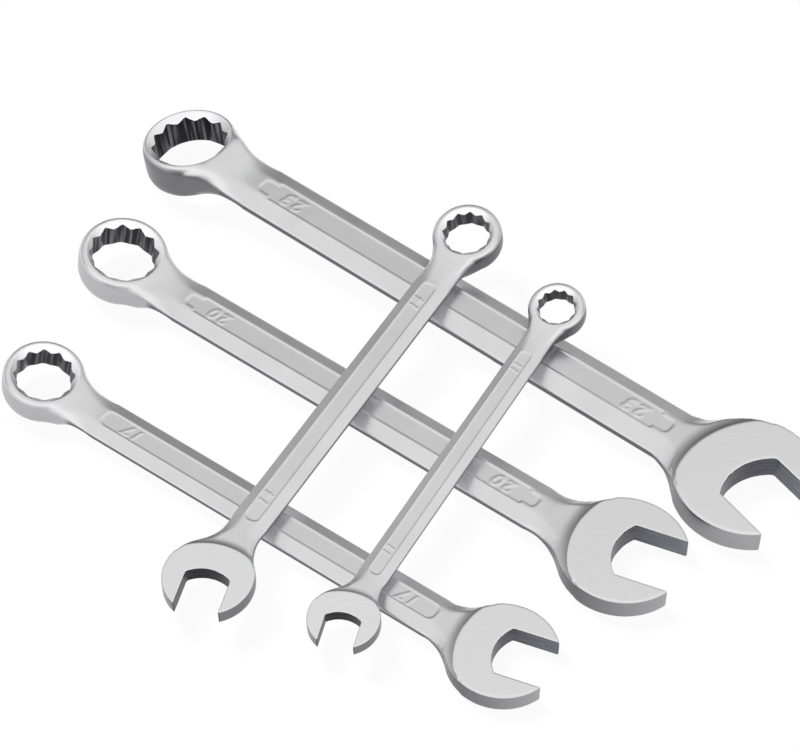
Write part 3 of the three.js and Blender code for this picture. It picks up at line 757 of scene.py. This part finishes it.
studioLight = {
    "floor": "ececec",
    "floorSize": 6,        # metres
    "seenWhite": 1.03,     # strength of the white that the camera and the metal see on the bench
    "seenShare": 0.9,      # how much of it covers the paper and its shadows there
    "softWorld": 0.38,     # the plain level that lights the bench
    "windowStrength": 2.2,
    "windowSpread": 20,    # degrees
    "windowFrom": (-0.45, 0.5, 0.74),
    # what the metal mirrors: sky brightness by height, 0 at the horizon and 1 overhead
    "behind": ((0.0, 0.04), (0.1, 0.1), (0.25, 0.18), (0.42, 0.27), (0.55, 0.4), (0.66, 0.5), (0.73, 0.6),
               (0.78, 0.98), (1.0, 0.98)),
    "atSides": ((0.0, 0.04), (0.08, 0.1), (0.14, 0.64), (0.3, 0.78), (0.5, 0.9), (1.0, 0.98)),
    "inFront": ((0.0, 1.05), (0.3, 1.2), (0.6, 1.25), (0.75, 1.15), (1.0, 0.97)),
    # how far the dark gap behind the object reaches, from 0 at the far left to 1 at the far right
    "sideShare": ((0.125, 1.0), (0.43, 0.0), (0.55, 0.0), (0.74, 1.0)),
    "turnRound": (-0.4, 0.2),  # where along Y the front gives way to the back
}


def studio():
    bpy.ops.mesh.primitive_plane_add(size=studioLight["floorSize"])
    floor = bpy.context.object
    floor.name = "bench_top"
    material, tree = newMaterial("whiteBenchPaper")
    paper = addNode(tree, "ShaderNodeBsdfDiffuse", {"Color": linear(studioLight["floor"])})
    glow = addNode(tree, "ShaderNodeEmission", {"Color": (1, 1, 1, 1), "Strength": studioLight["seenWhite"]})
    ray = addNode(tree, "ShaderNodeLightPath")
    mirrored = addNode(tree, "ShaderNodeMath", {"operation": "MAXIMUM"},
                       {0: ray.outputs["Is Glossy Ray"], 1: ray.outputs["Is Transmission Ray"]})
    white = addNode(tree, "ShaderNodeMath", {"operation": "MAXIMUM"},
                    {0: ray.outputs["Is Camera Ray"], 1: mirrored.outputs[0]})
    seen = addNode(tree, "ShaderNodeMath", {"operation": "MULTIPLY", 1: studioLight["seenShare"]},
                   {0: white.outputs[0]})
    both = addNode(tree, "ShaderNodeMixShader",
                   links={0: seen.outputs[0], 1: paper.outputs[0], 2: glow.outputs[0]})
    addNode(tree, "ShaderNodeOutputMaterial", links={"Surface": both.outputs[0]})
    floor.data.materials.append(material)

    world = bpy.data.worlds.new("studio")
    bpy.context.scene.world = world
    world.use_nodes = True
    tree = world.node_tree
    tree.nodes.clear()
    way = addNode(tree, "ShaderNodeTexCoord")
    parts = addNode(tree, "ShaderNodeSeparateXYZ", links={0: way.outputs["Generated"]})
    across = addNode(tree, "ShaderNodeMapRange", {"From Min": -1.0}, {"Value": parts.outputs["X"]})
    skies = {}
    for name, source in (("behind", parts.outputs["Z"]), ("atSides", parts.outputs["Z"]),
                         ("inFront", parts.outputs["Z"]), ("sideShare", across.outputs["Result"])):
        ramp = addNode(tree, "ShaderNodeValToRGB", links={0: source})
        ramp.color_ramp.interpolation = "EASE"
        stops = ramp.color_ramp.elements
        for i, (place, level) in enumerate(studioLight[name]):
            stop = stops[i] if i < 2 else stops.new(place)
            stop.position = place
            stop.color = (level, level, level, 1)
        skies[name] = ramp.outputs["Color"]
    backSky = addNode(tree, "ShaderNodeMix", {"data_type": "RGBA"},
                      {0: skies["sideShare"], 6: skies["behind"], 7: skies["atSides"]})
    front, back = studioLight["turnRound"]
    turnRound = addNode(tree, "ShaderNodeMapRange",
                        {"interpolation_type": "SMOOTHSTEP", "From Min": front, "From Max": back},
                        {"Value": parts.outputs["Y"]})
    sky = addNode(tree, "ShaderNodeMix", {"data_type": "RGBA"},
                  {0: turnRound.outputs["Result"], 6: skies["inFront"], 7: backSky.outputs[2]})
    ray = addNode(tree, "ShaderNodeLightPath")
    level = studioLight["softWorld"]
    kept = addNode(tree, "ShaderNodeMix", {"data_type": "RGBA", 6: (level, level, level, 1)},
                   {0: ray.outputs["Is Glossy Ray"], 7: sky.outputs[2]})
    light = addNode(tree, "ShaderNodeBackground", {"Strength": 1.0}, {0: kept.outputs[2]})
    addNode(tree, "ShaderNodeOutputWorld", links={"Surface": light.outputs[0]})

    bpy.ops.object.light_add(type="SUN")
    window = bpy.context.object
    window.name = "window_light"
    window.rotation_euler = Vector(studioLight["windowFrom"]).to_track_quat("Z", "Y").to_euler()
    window.data.energy = studioLight["windowStrength"]
    window.data.angle = math.radians(studioLight["windowSpread"])
    window.visible_glossy = False


photoView = {  # metres, and mm for the lens
    "eye": (-0.00186, -0.62435, 0.73094),
    "aim": (-0.00186, 0.01105, 0),
    "sensor": 36,
    "lens": 133.06,
    "clip": (0.05, 20),
}


def camera():
    bpy.ops.object.camera_add(location=photoView["eye"])
    eye = bpy.context.object
    eye.rotation_euler = (Vector(photoView["aim"]) - eye.location).to_track_quat("-Z", "Y").to_euler()
    eye.data.sensor_width = photoView["sensor"]
    eye.data.lens = photoView["lens"]
    eye.data.clip_start, eye.data.clip_end = photoView["clip"]
    bpy.context.scene.camera = eye


camera()
studio()
print("bench and light are set")

forged = satinChromeAndSideShade()
ground = groundJawFace()
leadIn = turnedLeadIn()
for wrench in wrenches:
    piece = forgeWrench(wrench)
    piece.data.materials.clear()
    for material in (forged, ground, broachedBoreAndShade(wrench), leadIn, milledSlotAndShade(wrench)):  # as finishOrder
        piece.data.materials.append(material)
    finishesAndShade(wrench, piece)
    settle(piece, frameOf(wrench))
    piece.name = "forged_" + wrench["name"]
    bpy.ops.object.shade_smooth()
    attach(piece, wrench["name"])
    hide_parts(wrench["name"])
print("wrenches are forged")

bpy.context.scene.view_settings.view_transform = "Standard"
